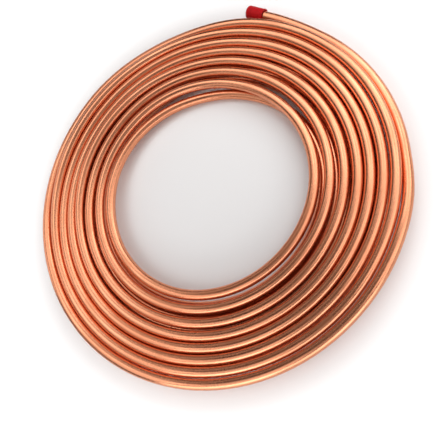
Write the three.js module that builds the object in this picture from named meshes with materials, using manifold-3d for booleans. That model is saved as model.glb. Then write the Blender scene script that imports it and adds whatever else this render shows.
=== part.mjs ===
// A soft copper tube wound as a double pancake coil, lying flat on its rear layer.
// Millimetres, +Z up, with the origin on the floor under the middle of the outline.
// Turns are counted clockwise from the capped end of the front layer, as seen from
// above: front layer inward, down through the bore, rear layer outward to the second
// capped end. Radii and angles are about the bore's axis.
import * as THREE from "three";
import { mergeVertices } from "three/addons/utils/BufferGeometryUtils.js";
import Module from "manifold-3d";

const wasm = await Module();
wasm.setup();

// Driving dimensions
const tubeDiameter = 9.52; // 3/8 in refrigeration tube
const tubeWall = 0.81;
const boreDiameter = 190; // clear of the innermost turn
const turnGap = 0.2; // between turns wound side by side
const looseness = 0.66 * tubeDiameter; // extra room that the inner turns have opened up
const frontTurns = 7.722; // from the front end to the start of the crossover
const crossoverTurns = 0.5;
const rearTurns = 5.59; // from the crossover to the rear end
const frontEndAngle = 7; // degrees clockwise from +Y
const axisSetBack = 6.7; // of the bore's axis from the middle of the outline, away from +Y
const capWall = 1.4;
const capLength = 19;
const capFit = 0.55; // between tube and cap, all round
const seatGap = 0.3; // between the tube's end and the inside of its cap
const passingGap = 0.6; // between a cap and the turns that pass it
const floorGap = 0.2; // under a cap
const openEndDepth = 24; // how far the hollow of the tube is cut in at each end
const tailSag = 0.66 * tubeDiameter; // how far the front tail hangs below its layer
const tailRise = [0.205, 0.275]; // turns over which it climbs onto its layer
const tailSpring = 10.3; // how far its end has sprung outward
const springTurns = 0.075; // turns over which it springs out
const rearTailRise = 0.12; // turns over which the rear tail lifts off the floor
const straightTurns = 0.028; // straight length at each end, as a share of a turn
const humpTurns = 0.18; // half length of the humps over and beside the rear end's cap
const outerTurnSag = 4.5; // how far the outermost turn drops beside that cap
const crossoverStay = 0.4; // share of the crossover spent at the bore before it steps outward

// Facets and joins
const tubeSides = 12;
const stepsPerTurn = 36;
const samplesPerStep = 8; // for measuring the path's length
const coreSegments = 36;
const capSegments = 24;
const freeFrontTurns = 3; // outermost turns of the front layer that wind inward by themselves
const freeRearTurns = 1.5; // outermost turns of the rear layer that wind outward by themselves
const joinTurns = 0.05; // how far a free stretch runs on into the turned solid
const cutterTurns = 0.002; // how far a hollow's cutter starts outside the tube's end
const weldDistance = 1e-4; // vertices nearer than this are one
const sliverSize = 0.01; // finer facets are merged away

// Sizes that follow from them
const tubeRadius = tubeDiameter / 2;
const pitch = tubeDiameter + turnGap;
const innerRadius = boreDiameter / 2 + tubeRadius;
const rearHeight = tubeRadius;
const frontHeight = rearHeight + tubeDiameter;
const rearStart = frontTurns + crossoverTurns;
const totalTurns = rearStart + rearTurns;
const rearEndRadius = rearRadius(totalTurns); // before its step sideways
const innermostRing = Math.ceil(frontTurns) - 1;
const rearRings = Math.floor(rearTurns - freeRearTurns) + 1;
const capBoreRadius = tubeRadius + capFit;
const capRadius = capBoreRadius + capWall;
const capHeight = capRadius + floorGap;
const capClearance = capRadius + tubeRadius + passingGap; // from a cap's axis to a turn's centre line
const besideRearCap = totalTurns % 1; // where the outermost turn passes the rear end
const overRearCap = besideRearCap + 1; // where the next turn crosses it
const liftHeight = capHeight + capClearance - frontHeight;
const rearChordSag = rearEndRadius * (1 - Math.cos(Math.PI * straightTurns)); // of the straight end
const rearSideStep = // clears its cap from the turn inside it
  Math.sqrt(capClearance ** 2 - (capHeight - rearHeight) ** 2) - pitch + rearChordSag;

const smooth = (value, from, to) => THREE.MathUtils.smoothstep(value, from, to);
const blend = (from, to, share) => THREE.MathUtils.lerp(from, to, share);

function hump(turn, middle, halfLength) {
  const share = Math.min(Math.abs(turn - middle) / halfLength, 1);
  return 0.5 + 0.5 * Math.cos(Math.PI * share);
}

// Radius of each layer's evenly wound turns
function frontRadius(turn) {
  const opened = looseness * (1 - (turn / frontTurns) ** 3);
  return innerRadius + pitch * (frontTurns - turn) + opened;
}

function rearRadius(turn) {
  return innerRadius + pitch * (1 + turn - rearStart);
}

// Drop of the front tail, and the step inward that keeps it against the turn inside it
function tailDrop(turn) {
  return tailSag * (1 - smooth(turn, ...tailRise));
}

function tailTuck(turn) {
  return pitch - Math.sqrt(pitch ** 2 - tailDrop(turn) ** 2);
}

// Radius of the tube's centre line, with the bends beside the rear end's cap
function coilRadius(turn) {
  if (turn <= frontTurns) {
    const capReach = rearEndRadius + rearSideStep + capClearance;
    const pushedOut = capReach - frontRadius(besideRearCap);
    const sprung = tailSpring * Math.max(1 - turn / springTurns, 0) ** 2;
    const tail = frontRadius(turn) - tailTuck(turn) + sprung;
    return tail + pushedOut * hump(turn, besideRearCap, humpTurns);
  }
  if (turn >= rearStart) {
    return rearRadius(turn) + rearSideStep * smooth(turn, totalTurns - rearTailRise, totalTurns);
  }
  const share = smooth(turn, frontTurns + crossoverTurns * crossoverStay, rearStart);
  return blend(innerRadius, rearRadius(rearStart), share);
}

// Height of the tube's centre line
function coilHeight(turn) {
  if (turn <= frontTurns) {
    const lifted = liftHeight * hump(turn, overRearCap, humpTurns);
    const sunk = tailDrop(turn) + outerTurnSag * hump(turn, besideRearCap, humpTurns);
    return frontHeight + lifted - sunk;
  }
  const down = smooth(turn, frontTurns, frontTurns + crossoverTurns / 2);
  const up = smooth(turn, totalTurns - rearTailRise, totalTurns);
  return blend(frontHeight, rearHeight, down) + (capHeight - rearHeight) * up;
}

function pointOnTurn(turn) {
  const angle = THREE.MathUtils.degToRad(frontEndAngle) + 2 * Math.PI * turn;
  const radius = coilRadius(turn);
  return new THREE.Vector3(radius * Math.sin(angle), radius * Math.cos(angle), coilHeight(turn));
}

// A point of the tube's centre line, which is straight at both ends, where the caps go on
function coilPoint(turn) {
  const lastBend = totalTurns - straightTurns;
  if (turn < straightTurns) {
    return pointOnTurn(0).lerp(pointOnTurn(straightTurns), turn / straightTurns);
  }
  if (turn > lastBend) {
    return pointOnTurn(lastBend).lerp(pointOnTurn(totalTurns), (turn - lastBend) / straightTurns);
  }
  return pointOnTurn(turn);
}

class CoilPath extends THREE.Curve {
  constructor(fromTurn, toTurn) {
    super();
    this.fromTurn = fromTurn;
    this.toTurn = toTurn;
    this.steps = Math.max(2, Math.round(Math.abs(toTurn - fromTurn) * stepsPerTurn));
    this.arcLengthDivisions = this.steps * samplesPerStep;
  }

  getPoint(share) {
    return coilPoint(blend(this.fromTurn, this.toTurn, share));
  }
}

// Manifold solids from three.js geometry, and back
function solidFrom(geometry) {
  geometry.deleteAttribute("normal");
  geometry.deleteAttribute("uv");
  const merged = mergeVertices(geometry, weldDistance);
  const vertProperties = new Float32Array(merged.attributes.position.array);
  const triVerts = new Uint32Array(merged.index.array);
  return new wasm.Manifold(new wasm.Mesh({ numProp: 3, vertProperties, triVerts }));
}

function geometryFrom(solid) {
  const mesh = solid.getMesh();
  const geometry = new THREE.BufferGeometry();
  geometry.setAttribute("position", new THREE.BufferAttribute(mesh.vertProperties, 3));
  geometry.setIndex(new THREE.BufferAttribute(mesh.triVerts, 1));
  return geometry;
}

// A stretch of round bar that follows the coil
function stretch(fromTurn, toTurn, radius) {
  const corners = [];
  for (let i = 0; i < tubeSides; i += 1) {
    const angle = (2 * Math.PI * i) / tubeSides;
    corners.push(new THREE.Vector2(radius * Math.cos(angle), radius * Math.sin(angle)));
  }
  const path = new CoilPath(fromTurn, toTurn);
  const section = new THREE.Shape(corners);
  const options = { steps: path.steps, bevelEnabled: false, extrudePath: path };
  return solidFrom(new THREE.ExtrudeGeometry(section, options));
}

// Corners of one turn's section, with flats at its top, bottom and sides
function turnCorners(radius, height, fromCorner, toCorner) {
  const reach = tubeRadius / Math.cos(Math.PI / tubeSides);
  const corners = [];
  for (let i = fromCorner; i <= toCorner; i += 1) {
    const angle = (Math.PI * (2 * i + 1)) / tubeSides;
    corners.push(new THREE.Vector2(radius + reach * Math.cos(angle), height + reach * Math.sin(angle)));
  }
  return corners;
}

// The turns that lie tight together: one turned solid, with the turns on both faces
function turnedTurns() {
  const half = tubeSides / 2;
  const outline = [];
  for (let turn = freeFrontTurns; turn <= innermostRing; turn += 1) {
    const first = turn === freeFrontTurns ? -1 : 0;
    const last = turn < innermostRing ? half - 1 : half;
    outline.push(...turnCorners(frontRadius(turn), frontHeight, first, last));
  }
  for (let ring = 0; ring < rearRings; ring += 1) {
    const first = ring === 0 ? half - 1 : half;
    const last = ring + 1 < rearRings ? 2 * half - 1 : 2 * half;
    outline.push(...turnCorners(rearRadius(rearStart + ring), rearHeight, first, last));
  }
  outline.push(outline[0].clone());
  const turned = new THREE.LatheGeometry(outline, coreSegments);
  turned.rotateX(Math.PI / 2);
  return solidFrom(turned);
}

function tubeCoil() {
  const outerStretch = stretch(0, freeFrontTurns + joinTurns, tubeRadius);
  const innerStretch = stretch(innermostRing - joinTurns, rearStart + joinTurns, tubeRadius);
  const rearStretch = stretch(totalTurns - freeRearTurns, totalTurns, tubeRadius);
  const frontHollowEnd = openEndDepth / (2 * Math.PI * coilRadius(0));
  const rearHollowEnd = openEndDepth / (2 * Math.PI * coilRadius(totalTurns));
  const hollowRadius = tubeRadius - tubeWall;
  const frontHollow = stretch(-cutterTurns, frontHollowEnd, hollowRadius);
  const rearHollow = stretch(totalTurns - rearHollowEnd, totalTurns + cutterTurns, hollowRadius);
  return turnedTurns()
    .add(outerStretch)
    .add(innerStretch)
    .add(rearStretch)
    .subtract(frontHollow)
    .subtract(rearHollow)
    .simplify(sliverSize);
}

// A push-on cap: a cup over the tube's straight end
function endCap(endTurn, inward) {
  const closedEnd = -seatGap - capWall;
  const mouth = capLength + closedEnd;
  const bevel = capWall / 2;
  const outline = [
    new THREE.Vector2(0, closedEnd),
    new THREE.Vector2(capRadius - bevel, closedEnd),
    new THREE.Vector2(capRadius, closedEnd + bevel),
    new THREE.Vector2(capRadius, mouth),
    new THREE.Vector2(capBoreRadius, mouth),
    new THREE.Vector2(capBoreRadius, -seatGap),
    new THREE.Vector2(0, -seatGap),
  ];
  const end = coilPoint(endTurn);
  const along = coilPoint(endTurn + inward * straightTurns).sub(end).normalize();
  const cap = new THREE.LatheGeometry(outline, capSegments);
  cap.applyQuaternion(new THREE.Quaternion().setFromUnitVectors(new THREE.Vector3(0, 1, 0), along));
  cap.translate(end.x, end.y, end.z);
  return mergeVertices(cap, weldDistance);
}

const copper = new THREE.MeshStandardMaterial({ color: 0xc0754a, roughness: 0.32, metalness: 1 });
copper.name = "copper";
const redPlastic = new THREE.MeshStandardMaterial({ color: 0xb3181c, roughness: 0.55, metalness: 0 });
redPlastic.name = "red_plastic";

const part = new THREE.Group();
part.name = "copper_tube_coil";

function addPiece(name, geometry, material) {
  geometry.translate(0, -axisSetBack, 0);
  const piece = new THREE.Mesh(geometry, material);
  piece.name = name;
  part.add(piece);
}

addPiece("copper_tube", geometryFrom(tubeCoil()), copper);
addPiece("front_end_cap", endCap(0, 1), redPlastic);
addPiece("rear_end_cap", endCap(totalTurns, -1), redPlastic);

export default part;
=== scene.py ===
"""A soft copper tube wound as a double pancake coil, with a red plastic cap on each end.

The file is laid out as a Blender add-on and is run as a script. Sizes are in metres, and the
coil lies on its rear layer round the Z axis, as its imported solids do.
"""

import math

import bmesh
import bpy
from bpy.props import FloatProperty, FloatVectorProperty, IntProperty, PointerProperty
from mathutils import Matrix, Vector


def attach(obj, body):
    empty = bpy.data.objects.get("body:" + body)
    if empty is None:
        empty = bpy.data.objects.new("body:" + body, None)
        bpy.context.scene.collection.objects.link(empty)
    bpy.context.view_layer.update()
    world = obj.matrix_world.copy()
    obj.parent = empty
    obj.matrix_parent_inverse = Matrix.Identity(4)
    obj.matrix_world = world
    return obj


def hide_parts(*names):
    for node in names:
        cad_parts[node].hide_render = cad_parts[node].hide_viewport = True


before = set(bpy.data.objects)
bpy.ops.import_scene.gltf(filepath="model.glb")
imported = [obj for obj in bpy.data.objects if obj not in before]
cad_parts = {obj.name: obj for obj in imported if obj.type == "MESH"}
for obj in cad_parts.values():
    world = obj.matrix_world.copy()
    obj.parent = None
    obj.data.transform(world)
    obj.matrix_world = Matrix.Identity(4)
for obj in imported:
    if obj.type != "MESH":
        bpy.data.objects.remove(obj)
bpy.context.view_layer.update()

bl_info = {
    "name": "Copper Tube Coil",
    "version": (1, 0, 0),
    "blender": (4, 5, 0),
    "location": "3D View > Sidebar > Coil",
    "description": "A wound copper tube with plastic end caps, on a plain studio floor",
    "category": "Add Mesh",
}

BODY = "root"
DRAWN = "drawn_place"  # where a point of a skin was before its piece was wound into place
WELD = 1e-6
SHARP = math.radians(50)

# How the whole winding strays from a true circle: lobes, how far outward at the outermost and
# at the innermost turn, bearing of a lobe
LOBES = (
    (1, -0.0004, 0.0028, math.radians(250)),
    (2, 0.0006, 0.0015, math.radians(130)),
    (3, 0.0001, 0.0005, math.radians(320)),
)

# Where turns stray from their neighbours: turn, how far outward and upward, half length in turns
BENDS = (
    (0.66, 0.0007, 0, 0.16),
    (0.92, -0.0004, -0.0024, 0.09),
    (1.01, 0.0013, 0, 0.08),
    (1.81, -0.0003, 0, 0.14),
    (2.00, 0.0011, 0, 0.13),
    (2.83, 0.0006, 0, 0.14),
    (4.32, 0.0004, 0, 0.16),
    (4.60, 0.0006, 0, 1.5),
    (4.80, 0.0005, 0.0026, 0.16),
    (7.55, -0.0016, 0, 2.0),
)


def smooth(value, start, stop):
    """Ease from 0 at start to 1 at stop."""
    share = min(max((value - start) / (stop - start), 0), 1)
    return share * share * (3 - 2 * share)


def blend(start, stop, share):
    return start + (stop - start) * share


def hump(turn, middle, half_length):
    """1 at the middle, easing to 0 at both ends."""
    share = min(abs(turn - middle) / half_length, 1)
    return 0.5 + 0.5 * math.cos(math.pi * share)


# Sizes and colours


class CoilSizes(bpy.types.PropertyGroup):
    """How the tube is wound"""

    tube_diameter: FloatProperty(
        name="Tube diameter", description="Outside diameter of the tube",
        default=0.00952, unit="LENGTH", precision=5,
    )
    tube_wall: FloatProperty(
        name="Tube wall", description="Thickness of the tube's wall",
        default=0.00081, unit="LENGTH", precision=5,
    )
    bore_diameter: FloatProperty(
        name="Bore", description="Clear diameter inside the innermost turn",
        default=0.19, unit="LENGTH", precision=4,
    )
    turn_gap: FloatProperty(
        name="Turn gap", description="Gap between turns wound side by side",
        default=0.0002, unit="LENGTH", precision=5,
    )
    looseness: FloatProperty(
        name="Looseness", description="Room that the inner turns have opened up, in diameters",
        default=0.66, subtype="FACTOR",
    )
    front_turns: FloatProperty(
        name="Front turns", description="Turns on the upper layer", default=7.722,
    )
    crossover_turns: FloatProperty(
        name="Crossover", description="Turns in which the tube drops to the lower layer",
        default=0.5,
    )
    rear_turns: FloatProperty(
        name="Rear turns", description="Turns on the lower layer", default=5.59,
    )
    front_end_bearing: FloatProperty(
        name="Front end bearing", description="Bearing of the front end, clockwise from +Y",
        default=math.radians(7), subtype="ANGLE",
    )
    axis_set_back: FloatProperty(
        name="Axis set back", description="Distance of the bore's axis behind the origin",
        default=0.0067, unit="LENGTH", precision=4,
    )
    tail_sag: FloatProperty(
        name="Tail sag", description="Drop of the front tail below its layer, in diameters",
        default=0.66, subtype="FACTOR",
    )
    tail_spring: FloatProperty(
        name="Tail spring", description="How far the front end has sprung outward",
        default=0.0103, unit="LENGTH", precision=4,
    )
    outer_turn_sag: FloatProperty(
        name="Outer turn sag", description="Drop of the outermost turn beside the rear cap",
        default=0.0045, unit="LENGTH", precision=4,
    )
    open_end_depth: FloatProperty(
        name="Open end depth", description="How far the tube's hollow is made at each end",
        default=0.024, unit="LENGTH", precision=4,
    )
    sides: IntProperty(name="Sides", description="Faces round the tube", default=24, min=8)
    steps: IntProperty(
        name="Steps", description="Faces along one turn of the tube", default=120, min=36,
    )


class CapSizes(bpy.types.PropertyGroup):
    """The push-on caps"""

    wall: FloatProperty(
        name="Wall", description="Thickness of a cap's wall",
        default=0.0014, unit="LENGTH", precision=5,
    )
    length: FloatProperty(
        name="Length", description="Length of a cap from its closed end to its mouth",
        default=0.019, unit="LENGTH", precision=4,
    )
    fit: FloatProperty(
        name="Fit", description="Gap between tube and cap, all round",
        default=0.00055, unit="LENGTH", precision=5,
    )
    seat_gap: FloatProperty(
        name="Seat gap", description="Gap between the tube's end and the inside of its cap",
        default=0.0003, unit="LENGTH", precision=5,
    )
    corner: FloatProperty(
        name="Corner", description="Radius of the round corner at the closed end",
        default=0.0016, unit="LENGTH", precision=5,
    )
    lip: FloatProperty(
        name="Lip", description="How far the bead at the mouth stands out from the side",
        default=0.00015, unit="LENGTH", precision=5,
    )
    passing_gap: FloatProperty(
        name="Passing gap", description="Gap between a cap and the turns that pass it",
        default=0.0006, unit="LENGTH", precision=5,
    )
    floor_gap: FloatProperty(
        name="Floor gap", description="Gap between a cap and the floor",
        default=0.0002, unit="LENGTH", precision=5,
    )
    sides: IntProperty(name="Sides", description="Faces round a cap", default=64, min=12)


class Finishes(bpy.types.PropertyGroup):
    """Colours of the finishes"""

    bright_copper: FloatVectorProperty(
        name="Bright copper", description="Colour of clean drawn copper",
        default=(0.85, 0.355, 0.197), subtype="COLOR", min=0, max=1,
    )
    dull_copper: FloatVectorProperty(
        name="Dull copper", description="Colour of handled copper",
        default=(0.7, 0.247, 0.12), subtype="COLOR", min=0, max=1,
    )
    red_plastic: FloatVectorProperty(
        name="Red plastic", description="Colour of the caps",
        default=(0.5, 0.006, 0.009), subtype="COLOR", min=0, max=1,
    )
    dark_plastic: FloatVectorProperty(
        name="Dark plastic", description="Colour of the caps' scuffs and grain",
        default=(0.34, 0.004, 0.006), subtype="COLOR", min=0, max=1,
    )
    floor: FloatVectorProperty(
        name="Floor", description="Colour of the floor",
        default=(0.9, 0.9, 0.9), subtype="COLOR", min=0, max=1,
    )
    surroundings: FloatVectorProperty(
        name="Surroundings", description="Colour of the studio round the floor",
        default=(0.028, 0.01, 0.006), subtype="COLOR", min=0, max=1,
    )
    backdrop: FloatVectorProperty(
        name="Backdrop", description="Colour of what is seen behind the floor's far edge",
        default=(0.8, 0.8, 0.8), subtype="COLOR", min=0, max=1,
    )
    floor_glow: FloatProperty(
        name="Floor glow", description="White that the camera alone sees on the outer floor",
        default=0.8, min=0, max=1, subtype="FACTOR",
    )
    glow_start: FloatProperty(
        name="Glow start", description="Distance from the origin at which the floor's glow begins",
        default=0.185, unit="LENGTH", precision=3,
    )
    glow_full: FloatProperty(
        name="Glow full", description="Distance from the origin at which the glow is at its full",
        default=0.26, unit="LENGTH", precision=3,
    )


class StageSetup(bpy.types.PropertyGroup):
    """Floor, lamps and camera"""

    floor_size: FloatProperty(
        name="Floor size", description="Side of the square floor", default=12, unit="LENGTH",
    )
    lamp_level: FloatProperty(
        name="Lamp level", description="Strength of all lamps together", default=1,
        subtype="FACTOR",
    )
    lens: FloatProperty(name="Lens", description="Focal length", default=44.3, unit="CAMERA")
    distance: FloatProperty(
        name="Distance", description="From the camera to the point that it looks at",
        default=0.4837, unit="LENGTH", precision=4,
    )
    elevation: FloatProperty(
        name="Elevation", description="How steeply the camera looks down",
        default=math.radians(62.3), subtype="ANGLE",
    )
    azimuth: FloatProperty(
        name="Azimuth", description="Side that the camera stands on, from -Y towards +X",
        default=math.radians(54.6), subtype="ANGLE",
    )
    roll: FloatProperty(
        name="Roll", description="Turn of the picture about the line of sight",
        default=math.radians(-51.29), subtype="ANGLE",
    )
    target: FloatVectorProperty(
        name="Target", description="Point that the camera looks at",
        default=(0.02511, -0.04485, 0.0188), subtype="XYZ_LENGTH", unit="LENGTH", precision=4,
    )


# The tube's route


class Winding:
    """Centre line of the tube, in turns clockwise from the capped end of the front layer."""

    TAIL_RISE = (0.205, 0.275)  # turns over which the front tail climbs onto its layer
    SPRING = 0.075  # turns over which the front tail springs outward
    REAR_TAIL_RISE = 0.12  # turns over which the rear tail lifts off the floor
    STRAIGHT = 0.028  # straight length at each end, in turns
    HUMP = 0.18  # half length of the humps over and beside the rear end's cap
    CROSSOVER_STAY = 0.4  # share of the crossover spent at the bore before it steps outward
    TRUE_END = 0.1  # turns at each end over which the strays fade out

    def __init__(self, sizes, caps):
        self.tube_radius = sizes.tube_diameter / 2
        self.pitch = sizes.tube_diameter + sizes.turn_gap
        self.looseness = sizes.looseness * sizes.tube_diameter
        self.front_turns = sizes.front_turns
        self.crossover_turns = sizes.crossover_turns
        self.end_bearing = sizes.front_end_bearing
        self.set_back = sizes.axis_set_back
        self.tail_sag = sizes.tail_sag * sizes.tube_diameter
        self.tail_spring = sizes.tail_spring
        self.sag = sizes.outer_turn_sag
        self.inner_radius = sizes.bore_diameter / 2 + self.tube_radius
        self.rear_height = self.tube_radius
        self.front_height = self.rear_height + sizes.tube_diameter
        self.rear_start = sizes.front_turns + sizes.crossover_turns
        self.total_turns = self.rear_start + sizes.rear_turns
        self.cap_radius = self.tube_radius + caps.fit + caps.wall
        self.cap_height = self.cap_radius + caps.floor_gap
        self.clearance = self.cap_radius + self.tube_radius + caps.passing_gap
        self.beside_cap = self.total_turns % 1
        self.lift = self.cap_height + self.clearance - self.front_height
        rear_end_radius = self.rear_radius(self.total_turns)
        chord_sag = rear_end_radius * (1 - math.cos(math.pi * self.STRAIGHT))
        level_reach = math.sqrt(self.clearance**2 - (self.cap_height - self.rear_height) ** 2)
        self.side_step = level_reach - self.pitch + chord_sag
        cap_reach = rear_end_radius + self.side_step + self.clearance
        self.pushed_out = cap_reach - self.front_radius(self.beside_cap)

    def front_radius(self, turn):
        opened = self.looseness * (1 - (turn / self.front_turns) ** 3)
        return self.inner_radius + self.pitch * (self.front_turns - turn) + opened

    def rear_radius(self, turn):
        return self.inner_radius + self.pitch * (1 + turn - self.rear_start)

    def tail_drop(self, turn):
        return self.tail_sag * (1 - smooth(turn, *self.TAIL_RISE))

    def tail_tuck(self, turn):
        """The step inward that keeps the dropped tail against the turn inside it."""
        return self.pitch - math.sqrt(self.pitch**2 - self.tail_drop(turn) ** 2)

    def rear_tail(self, turn):
        return smooth(turn, self.total_turns - self.REAR_TAIL_RISE, self.total_turns)

    def bearing(self, turn):
        return self.end_bearing + 2 * math.pi * turn

    def depth(self, turn):
        """0 at the outermost turn of the front layer and on the rear layer, 1 at the bore."""
        if turn < self.front_turns:
            return turn / self.front_turns
        return max(self.rear_start - turn, 0) / self.crossover_turns

    def stray(self, turn):
        """How far the real winding lies outside and above the even spiral."""
        bearing = self.bearing(turn)
        outward = upward = 0
        for count, outermost, innermost, toward in LOBES:
            far = blend(outermost, innermost, self.depth(turn))
            outward += far * math.cos(count * (bearing - toward))
        for middle, out, up, half in BENDS:
            outward += out * hump(turn, middle, half)
            upward += up * hump(turn, middle, half)
        held = smooth(turn, 0, self.TRUE_END) * smooth(self.total_turns - turn, 0, self.TRUE_END)
        return outward * held, upward * held

    def radius(self, turn):
        if turn <= self.front_turns:
            even = self.front_radius(turn) - self.tail_tuck(turn)
            even += self.tail_spring * max(1 - turn / self.SPRING, 0) ** 2
            even += self.pushed_out * hump(turn, self.beside_cap, self.HUMP)
        elif turn >= self.rear_start:
            even = self.rear_radius(turn) + self.side_step * self.rear_tail(turn)
        else:
            step_out = self.front_turns + self.crossover_turns * self.CROSSOVER_STAY
            share = smooth(turn, step_out, self.rear_start)
            even = blend(self.inner_radius, self.rear_radius(self.rear_start), share)
        outward, _ = self.stray(turn)
        return even + outward

    def height(self, turn):
        if turn <= self.front_turns:
            lifted = self.lift * hump(turn, self.beside_cap + 1, self.HUMP)
            sunk = self.tail_drop(turn) + self.sag * hump(turn, self.beside_cap, self.HUMP)
            _, upward = self.stray(turn)
            return self.front_height + lifted - sunk + upward
        dropped = smooth(turn, self.front_turns, self.front_turns + self.crossover_turns / 2)
        level = blend(self.front_height, self.rear_height, dropped)
        return level + (self.cap_height - self.rear_height) * self.rear_tail(turn)

    def point_on_turn(self, turn):
        bearing = self.bearing(turn)
        radius = self.radius(turn)
        across = radius * math.sin(bearing)
        ahead = radius * math.cos(bearing) - self.set_back
        return Vector((across, ahead, self.height(turn)))

    def point(self, turn):
        """A point of the centre line, which is straight at both ends, where the caps go on."""
        last_bend = self.total_turns - self.STRAIGHT
        if turn < self.STRAIGHT:
            bend = self.point_on_turn(self.STRAIGHT)
            return self.point_on_turn(0).lerp(bend, turn / self.STRAIGHT)
        if turn > last_bend:
            end = self.point_on_turn(self.total_turns)
            return self.point_on_turn(last_bend).lerp(end, (turn - last_bend) / self.STRAIGHT)
        return self.point_on_turn(turn)

    def section(self, turn):
        """The place of the tube's section: X sideways, Y upward, Z along the tube."""
        reach = self.STRAIGHT / 8  # short, so that each end's section lies square to the tube
        before = self.point(max(turn - reach, 0))
        after = self.point(min(turn + reach, self.total_turns))
        along = (after - before).normalized()
        side = Vector((0, 0, 1)).cross(along).normalized()
        turned = Matrix((side, along.cross(side), along)).transposed().to_4x4()
        return Matrix.Translation(self.point(turn)) @ turned


# Shader maths


class Shade:
    """One value in a material's nodes. Sums and products of values add Math nodes."""

    def __init__(self, tree, socket=None):
        self.tree = tree
        self.socket = socket

    def node(self, kind, settings=None, inputs=None, output=0):
        """Add a node: its settings, then its inputs, and give back one of its outputs."""
        node = self.tree.nodes.new(kind)
        for name, setting in (settings or {}).items():
            setattr(node, name, setting)
        for name, value in (inputs or {}).items():
            self.join(value, node.inputs[name])
        return Shade(self.tree, node.outputs[output])

    def join(self, value, socket):
        if isinstance(value, Shade):
            self.tree.links.new(value.socket, socket)
        else:
            socket.default_value = value

    def math(self, operation, *values, clamp=False):
        settings = {"operation": operation, "use_clamp": clamp}
        return self.node("ShaderNodeMath", settings, dict(enumerate(values)))

    def __add__(self, other):
        return self.math("ADD", self, other)

    def __sub__(self, other):
        return self.math("SUBTRACT", self, other)

    def __rsub__(self, other):
        return self.math("SUBTRACT", other, self)

    def __mul__(self, other):
        return self.math("MULTIPLY", self, other)

    __radd__ = __add__
    __rmul__ = __mul__

    def between(self, low, high):
        """0 at low and 1 at high, held inside that range."""
        return self.math("DIVIDE", self - low, high - low, clamp=True)

    def stretched(self, scale):
        """This vector with its parts multiplied one by one."""
        return self.node("ShaderNodeVectorMath", {"operation": "MULTIPLY"}, {0: self, 1: scale})

    def noise(self, detail=2.0, roughness=0.5):
        """Soft noise from 0 to 1 over this vector, one blotch per unit."""
        inputs = {"Vector": self, "Scale": 1.0, "Detail": detail, "Roughness": roughness}
        return self.node("ShaderNodeTexNoise", None, inputs)

    def colour_mix(self, start, stop):
        """From one colour to another as this value goes from 0 to 1."""
        inputs = {0: self, 6: (*start, 1.0), 7: (*stop, 1.0)}
        return self.node("ShaderNodeMix", {"data_type": "RGBA"}, inputs, output=2)

    def relief(self):
        """Surface normals for this height in metres."""
        return self.node("ShaderNodeBump", None, {"Height": self, "Distance": 1.0})


def new_material(name, finish, colours):
    """A material whose Principled shader takes the inputs that the finish gives."""
    material = bpy.data.materials.new(name)
    material.use_nodes = True
    surface = material.node_tree.nodes["Principled BSDF"]
    shade = Shade(material.node_tree)
    for socket, value in finish(shade, colours).items():
        shade.join(value, surface.inputs[socket])
    return material


def drawn_copper(shade, colours):
    """Bright drawn tube: lines along it, cloudy tarnish, handling marks and faint ripples.
    Each scale is in blotches to a metre, across the tube twice and then along it."""
    skin = shade.node("ShaderNodeAttribute", {"attribute_name": DRAWN}, output=1)
    clouds = skin.stretched((60, 60, 14)).noise(detail=3).between(0.35, 0.7)
    handled = skin.stretched((140, 140, 45)).noise(detail=4, roughness=0.6).between(0.52, 0.75)
    lines = skin.stretched((2600, 2600, 30)).noise()
    ripples = skin.stretched((30, 30, 240)).noise(detail=1)
    specks = skin.stretched((900, 900, 900)).noise().between(0.66, 0.78)
    dulled = clouds * 0.45 + handled * 0.35 + specks * 0.3
    return {
        "Base Color": dulled.colour_mix(colours.bright_copper, colours.dull_copper),
        "Metallic": 1.0,
        "Roughness": 0.21 + clouds * 0.05 + handled * 0.06 + lines * 0.06 + specks * 0.1,
        "Normal": (lines * 0.000003 + ripples * 0.000008).relief(),
    }


def moulded_red(shade, colours):
    """Soft moulded plastic: fine grain, rubbed patches and a slight sheen."""
    skin = shade.node("ShaderNodeAttribute", {"attribute_name": DRAWN}, output=1)
    grain = skin.stretched((1600, 1600, 1600)).noise()
    rubbed = skin.stretched((260, 260, 260)).noise(detail=3).between(0.5, 0.75)
    worn = rubbed * 0.6 + grain * 0.3
    return {
        "Base Color": worn.colour_mix(colours.red_plastic, colours.dark_plastic),
        "Roughness": 0.42 + rubbed * 0.15 + grain * 0.08,
        "Specular IOR Level": 0.14,
        "Normal": (grain * 0.00002 + rubbed * 0.00003).relief(),
    }


def pale_board(shade, colours):
    """Matt pale board with a barely visible tooth. To the camera alone it glows white away from
    the coil."""
    place = shade.node("ShaderNodeTexCoord", output=3)
    tooth = place.stretched((900, 900, 900)).noise()
    hollows = tuple(channel * 0.97 for channel in colours.floor)
    distance = place.node("ShaderNodeVectorMath", {"operation": "LENGTH"}, {0: place}, output=1)
    camera_ray = shade.node("ShaderNodeLightPath")
    seen = camera_ray * distance.between(colours.glow_start, colours.glow_full)
    return {
        "Base Color": tooth.colour_mix(colours.floor, hollows),
        "Roughness": 0.85 + tooth * 0.1,
        "Emission Color": seen.colour_mix((0, 0, 0), (1, 1, 1)),
        "Emission Strength": colours.floor_glow,
        "Normal": (tooth * 0.00002).relief(),
    }


# Meshes


def disc(radius, distance=0.0):
    """The place of a ring's unit circle on its own axis."""
    return Matrix.Translation((0, 0, distance)) @ Matrix.Diagonal((radius, radius, 1, 1))


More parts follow.
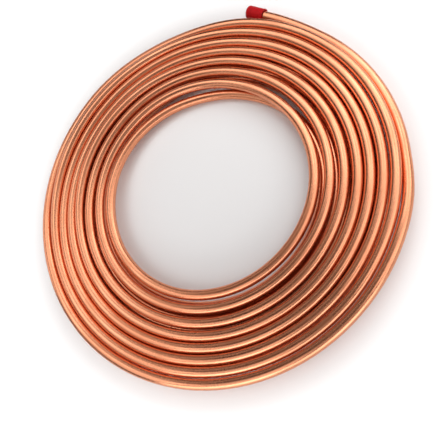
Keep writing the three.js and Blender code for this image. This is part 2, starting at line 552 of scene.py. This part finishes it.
def skin_rings(rings, sides):
    """A skin over a row of round rings. A ring is the place of a unit circle in the wound
    piece, and its place in the straight piece before winding."""
    builder = bmesh.new()
    drawn = builder.verts.layers.float_vector.new(DRAWN)
    previous, _ = rings[0]
    ring = bmesh.ops.create_circle(
        builder, cap_ends=False, segments=sides, radius=1, matrix=previous
    )["verts"]
    edges = list(builder.edges)
    for place, straight_place in rings:
        if place is not previous:
            grown = bmesh.ops.extrude_edge_only(builder, edges=edges)["geom"]
            ring = [item for item in grown if isinstance(item, bmesh.types.BMVert)]
            inside = set(ring)
            edges = [
                item for item in grown
                if isinstance(item, bmesh.types.BMEdge) and inside.issuperset(item.verts)
            ]
            bmesh.ops.transform(builder, matrix=place @ previous.inverted(), verts=ring)
            previous = place
        straighten = straight_place @ place.inverted()
        for vertex in ring:
            vertex[drawn] = straighten @ vertex.co
    return builder


def close_skin(builder):
    """Weld what touches, close both ends and turn the faces outward."""
    bmesh.ops.remove_doubles(builder, verts=builder.verts, dist=WELD)
    open_edges = [edge for edge in builder.edges if edge.is_boundary]
    bmesh.ops.holes_fill(builder, edges=open_edges)
    bmesh.ops.recalc_face_normals(builder, faces=builder.faces)
    for face in builder.faces:
        face.smooth = True
    for edge in builder.edges:
        edge.smooth = edge.calc_face_angle(0) < SHARP


def new_piece(name, builder, material, node):
    """An object from a finished skin, which stands for a node of the solid model."""
    mesh = bpy.data.meshes.new(name)
    builder.to_mesh(mesh)
    builder.free()
    mesh.materials.append(material)
    piece = bpy.data.objects.new(name, mesh)
    bpy.context.scene.collection.objects.link(piece)
    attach(piece, BODY)
    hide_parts(node)
    return piece


# Operators


class COIL_OT_copper_tube(bpy.types.Operator):
    """Wind the copper tube"""

    bl_idname = "coil.copper_tube"
    bl_label = "Copper Tube"
    bl_options = {"REGISTER", "UNDO"}

    STRETCH = 40  # rings skinned at a time
    HOLLOW_STEPS = 6

    def execute(self, context):
        scene = context.scene
        rings = self.rings(Winding(scene.coil_sizes, scene.coil_caps), scene.coil_sizes)
        builder = bmesh.new()
        stretch = bpy.data.meshes.new("stretch")
        for first in range(0, len(rings) - 1, self.STRETCH):
            part = skin_rings(rings[first : first + self.STRETCH + 1], scene.coil_sizes.sides)
            part.to_mesh(stretch)
            part.free()
            builder.from_mesh(stretch)
        bpy.data.meshes.remove(stretch)
        close_skin(builder)
        copper = new_material("copper", drawn_copper, scene.coil_finishes)
        new_piece("wound_tube", builder, copper, "copper_tube")
        return {"FINISHED"}

    def rings(self, winding, sizes):
        """The tube's rings, from the bottom of one end's hollow to the other's."""
        total = winding.total_turns
        outer = winding.tube_radius
        inner = outer - sizes.tube_wall
        count = round(total * sizes.steps)
        shares = [index / self.HOLLOW_STEPS for index in range(self.HOLLOW_STEPS + 1)]
        front = sizes.open_end_depth / (2 * math.pi * winding.radius(0))
        rear = sizes.open_end_depth / (2 * math.pi * winding.radius(total))
        row = [(blend(front, 0, share), inner) for share in shares]
        row += [(total * index / count, outer) for index in range(count + 1)]
        row += [(blend(total, total - rear, share), inner) for share in shares]
        rings = []
        travelled = 0.0
        last_turn, _ = row[0]
        for turn, radius in row:
            step = (winding.point(turn) - winding.point(last_turn)).length
            travelled += math.copysign(step, turn - last_turn)
            last_turn = turn
            rings.append((winding.section(turn) @ disc(radius), disc(radius, travelled)))
        return rings


class COIL_OT_end_caps(bpy.types.Operator):
    """Push a plastic cap onto each end of the tube"""

    bl_idname = "coil.end_caps"
    bl_label = "End Caps"
    bl_options = {"REGISTER", "UNDO"}

    CORNER_STEPS = 6

    def execute(self, context):
        scene = context.scene
        caps = scene.coil_caps
        winding = Winding(scene.coil_sizes, caps)
        plastic = new_material("red_plastic", moulded_red, scene.coil_finishes)
        ends = (
            ("front_cap", 0.0, Matrix.Identity(4), "front_end_cap"),
            ("rear_cap", winding.total_turns, Matrix.Rotation(math.pi, 4, "Y"), "rear_end_cap"),
        )
        for name, turn, facing, node in ends:
            end = winding.section(turn) @ facing
            rings = [
                (end @ disc(radius, distance), disc(radius, distance))
                for radius, distance in self.outline(winding, caps)
            ]
            builder = skin_rings(rings, caps.sides)
            close_skin(builder)
            new_piece(name, builder, plastic, node)
        return {"FINISHED"}

    def outline(self, winding, caps):
        """Radius and distance from the tube's end of each ring, from the bottom of the cap's
        bore round its mouth to the middle of its closed end."""
        bore = winding.tube_radius + caps.fit
        rim = winding.cap_radius
        side = rim - caps.lip
        closed = -caps.seat_gap - caps.wall
        mouth = closed + caps.length
        bead = caps.wall
        # Up the bore, over the rounded mouth and down the bead
        outline = [
            (bore * 0.2, -caps.seat_gap),
            (bore * 0.9, -caps.seat_gap),
            (bore, -caps.seat_gap + bore * 0.1),
            (bore, mouth - bead),
            (bore + bead * 0.05, mouth - bead * 0.2),
            (bore + bead * 0.25, mouth),
            (side - bead * 0.25, mouth),
            (side + caps.lip * 0.7, mouth - bead * 0.15),
            (rim, mouth - bead * 0.4),
            (rim, mouth - bead * 0.8),
            (side + caps.lip * 0.5, mouth - bead * 1.05),
            (side, mouth - bead * 1.3),
        ]
        # Round the corner of the closed end
        for step in range(self.CORNER_STEPS + 1):
            angle = math.pi / 2 * step / self.CORNER_STEPS
            outline.append((
                side - caps.corner * (1 - math.cos(angle)),
                closed + caps.corner * (1 - math.sin(angle)),
            ))
        outline.append((side * 0.12, closed))
        return outline


class COIL_OT_stage(bpy.types.Operator):
    """Lay the floor, hang the lamps and set the camera"""

    bl_idname = "coil.stage"
    bl_label = "Stage"
    bl_options = {"REGISTER", "UNDO"}

    NEAR_CLIP = 0.01

    # Each soft panel: name, bearing in degrees, how far out and how high its middle is, how
    # steeply it faces inward in degrees, its width and depth, how far aside its grid lets it
    # shine in degrees, and how bright its face is
    LAMPS = (
        ("floor_right_back_panel", 45, 0.37, 0.085, 65, 0.3, 0.15, 60, 1.5),
        ("floor_right_panel", 90, 0.37, 0.085, 65, 0.3, 0.15, 60, 1.0),
        ("floor_right_front_panel", 135, 0.37, 0.085, 65, 0.3, 0.15, 60, 2.7),
        ("floor_front_panel", 180, 0.37, 0.085, 65, 0.3, 0.15, 60, 3.0),
        ("floor_left_panel", 270, 0.37, 0.085, 65, 0.3, 0.15, 60, 1.3),
        ("floor_left_back_panel", 315, 0.37, 0.085, 65, 0.3, 0.15, 60, 0.6),
        ("low_right_panel", 90, 0.29, 0.17, 35, 0.25, 0.24, 53, 1.6),
        ("low_front_panel", 180, 0.29, 0.17, 35, 0.25, 0.24, 53, 1.1),
        ("low_left_front_panel", 225, 0.29, 0.17, 35, 0.25, 0.24, 53, 1.4),
        ("far_back_panel", 15, 0.45, 0.3, 55, 0.4, 0.2, 50, 1.8),
        ("far_right_back_panel", 45, 0.45, 0.28, 60, 0.4, 0.2, 50, 2.0),
        ("high_back_panel", 0, 0.28, 0.32, 0, 0.6, 0.34, 53, 1.6),
        ("high_left_panel", 270, 0.3, 0.32, 0, 0.35, 0.26, 53, 2.6),
        ("tilted_back_panel", 0, 0.27, 0.33, 40, 0.36, 0.2, 50, 1.5),
        ("top_left_back_panel", 315, 0.19, 0.33, 15, 0.17, 0.17, 62, 0.6),
        ("top_right_back_panel", 45, 0.19, 0.33, 15, 0.17, 0.17, 62, 1.1),
        ("overhead_panel", 0, 0.0, 0.36, 0, 0.2, 0.2, 62, 0.2),
        ("camera_side_panel", 140, 0.36, 0.52, 30, 0.5, 0.4, 53, 0.46),
    )

    def execute(self, context):
        scene = context.scene
        self.lay_floor(scene)
        self.hang_lamps(scene)
        self.set_camera(scene)
        scene.view_settings.view_transform = "Standard"
        return {"FINISHED"}

    def lay_floor(self, scene):
        builder = bmesh.new()
        side = scene.coil_stage.floor_size
        bmesh.ops.create_grid(builder, x_segments=1, y_segments=1, size=side / 2)
        mesh = bpy.data.meshes.new("floor")
        builder.to_mesh(mesh)
        builder.free()
        mesh.materials.append(new_material("pale_board", pale_board, scene.coil_finishes))
        floor = bpy.data.objects.new("floor", mesh)
        scene.collection.objects.link(floor)

    def hang_lamps(self, scene):
        for name, bearing, out, height, tilt, width, depth, aside, brightness in self.LAMPS:
            lamp = bpy.data.lights.new(name, "AREA")
            lamp.shape = "RECTANGLE"
            lamp.size = width
            lamp.size_y = depth
            grid = math.radians(aside)
            lamp.spread = 2 * grid
            # A spread gathers the energy into its beam, so this share keeps the face as bright
            # as it is given
            beam = 1 - grid / math.tan(grid)
            face = brightness * scene.coil_stage.lamp_level
            lamp.energy = face * math.pi * width * depth * beam
            hung = bpy.data.objects.new(name, lamp)
            hung.matrix_world = (
                Matrix.Rotation(-math.radians(bearing), 4, "Z")
                @ Matrix.Translation((0, out, height))
                @ Matrix.Rotation(-math.radians(tilt), 4, "X")
            )
            hung.visible_camera = False
            scene.collection.objects.link(hung)
        world = bpy.data.worlds.new("studio")
        world.use_nodes = True
        shade = Shade(world.node_tree)
        colours = scene.coil_finishes
        seen = shade.node("ShaderNodeLightPath")
        air = seen.colour_mix(colours.surroundings, colours.backdrop)
        shade.join(air, world.node_tree.nodes["Background"].inputs["Color"])
        scene.world = world

    def set_camera(self, scene):
        setup = scene.coil_stage
        camera = bpy.data.cameras.new("camera")
        camera.lens = setup.lens
        camera.clip_start = self.NEAR_CLIP
        toward = Vector((
            math.cos(setup.elevation) * math.sin(setup.azimuth),
            -math.cos(setup.elevation) * math.cos(setup.azimuth),
            math.sin(setup.elevation),
        ))
        rotation = toward.to_track_quat("Z", "Y").to_matrix().to_4x4()
        rotation @= Matrix.Rotation(setup.roll, 4, "Z")
        place = Vector(setup.target) + toward * setup.distance
        holder = bpy.data.objects.new("camera", camera)
        holder.matrix_world = Matrix.Translation(place) @ rotation
        scene.collection.objects.link(holder)
        scene.camera = holder


# Sidebar and run


class COIL_PT_sidebar(bpy.types.Panel):
    """Sizes and colours of the coil, and the buttons that make it"""

    bl_idname = "COIL_PT_sidebar"
    bl_label = "Copper Tube Coil"
    bl_space_type = "VIEW_3D"
    bl_region_type = "UI"
    bl_category = "Coil"

    def draw(self, context):
        for group in (
            context.scene.coil_sizes,
            context.scene.coil_caps,
            context.scene.coil_finishes,
            context.scene.coil_stage,
        ):
            box = self.layout.box()
            for name in group.bl_rna.properties.keys():
                if name not in {"rna_type", "name"}:
                    box.prop(group, name)
        for operator in OPERATORS:
            self.layout.operator(operator.bl_idname)


GROUPS = {
    "coil_sizes": CoilSizes,
    "coil_caps": CapSizes,
    "coil_finishes": Finishes,
    "coil_stage": StageSetup,
}
OPERATORS = (COIL_OT_copper_tube, COIL_OT_end_caps, COIL_OT_stage)


def register():
    for name, group in GROUPS.items():
        bpy.utils.register_class(group)
        setattr(bpy.types.Scene, name, PointerProperty(type=group))
    for kind in (*OPERATORS, COIL_PT_sidebar):
        bpy.utils.register_class(kind)


def unregister():
    for kind in (COIL_PT_sidebar, *reversed(OPERATORS)):
        bpy.utils.unregister_class(kind)
    for name, group in GROUPS.items():
        delattr(bpy.types.Scene, name)
        bpy.utils.unregister_class(group)


def main():
    register()
    bpy.ops.coil.copper_tube()
    bpy.ops.coil.end_caps()
    bpy.ops.coil.stage()


if __name__ == "__main__":
    main()
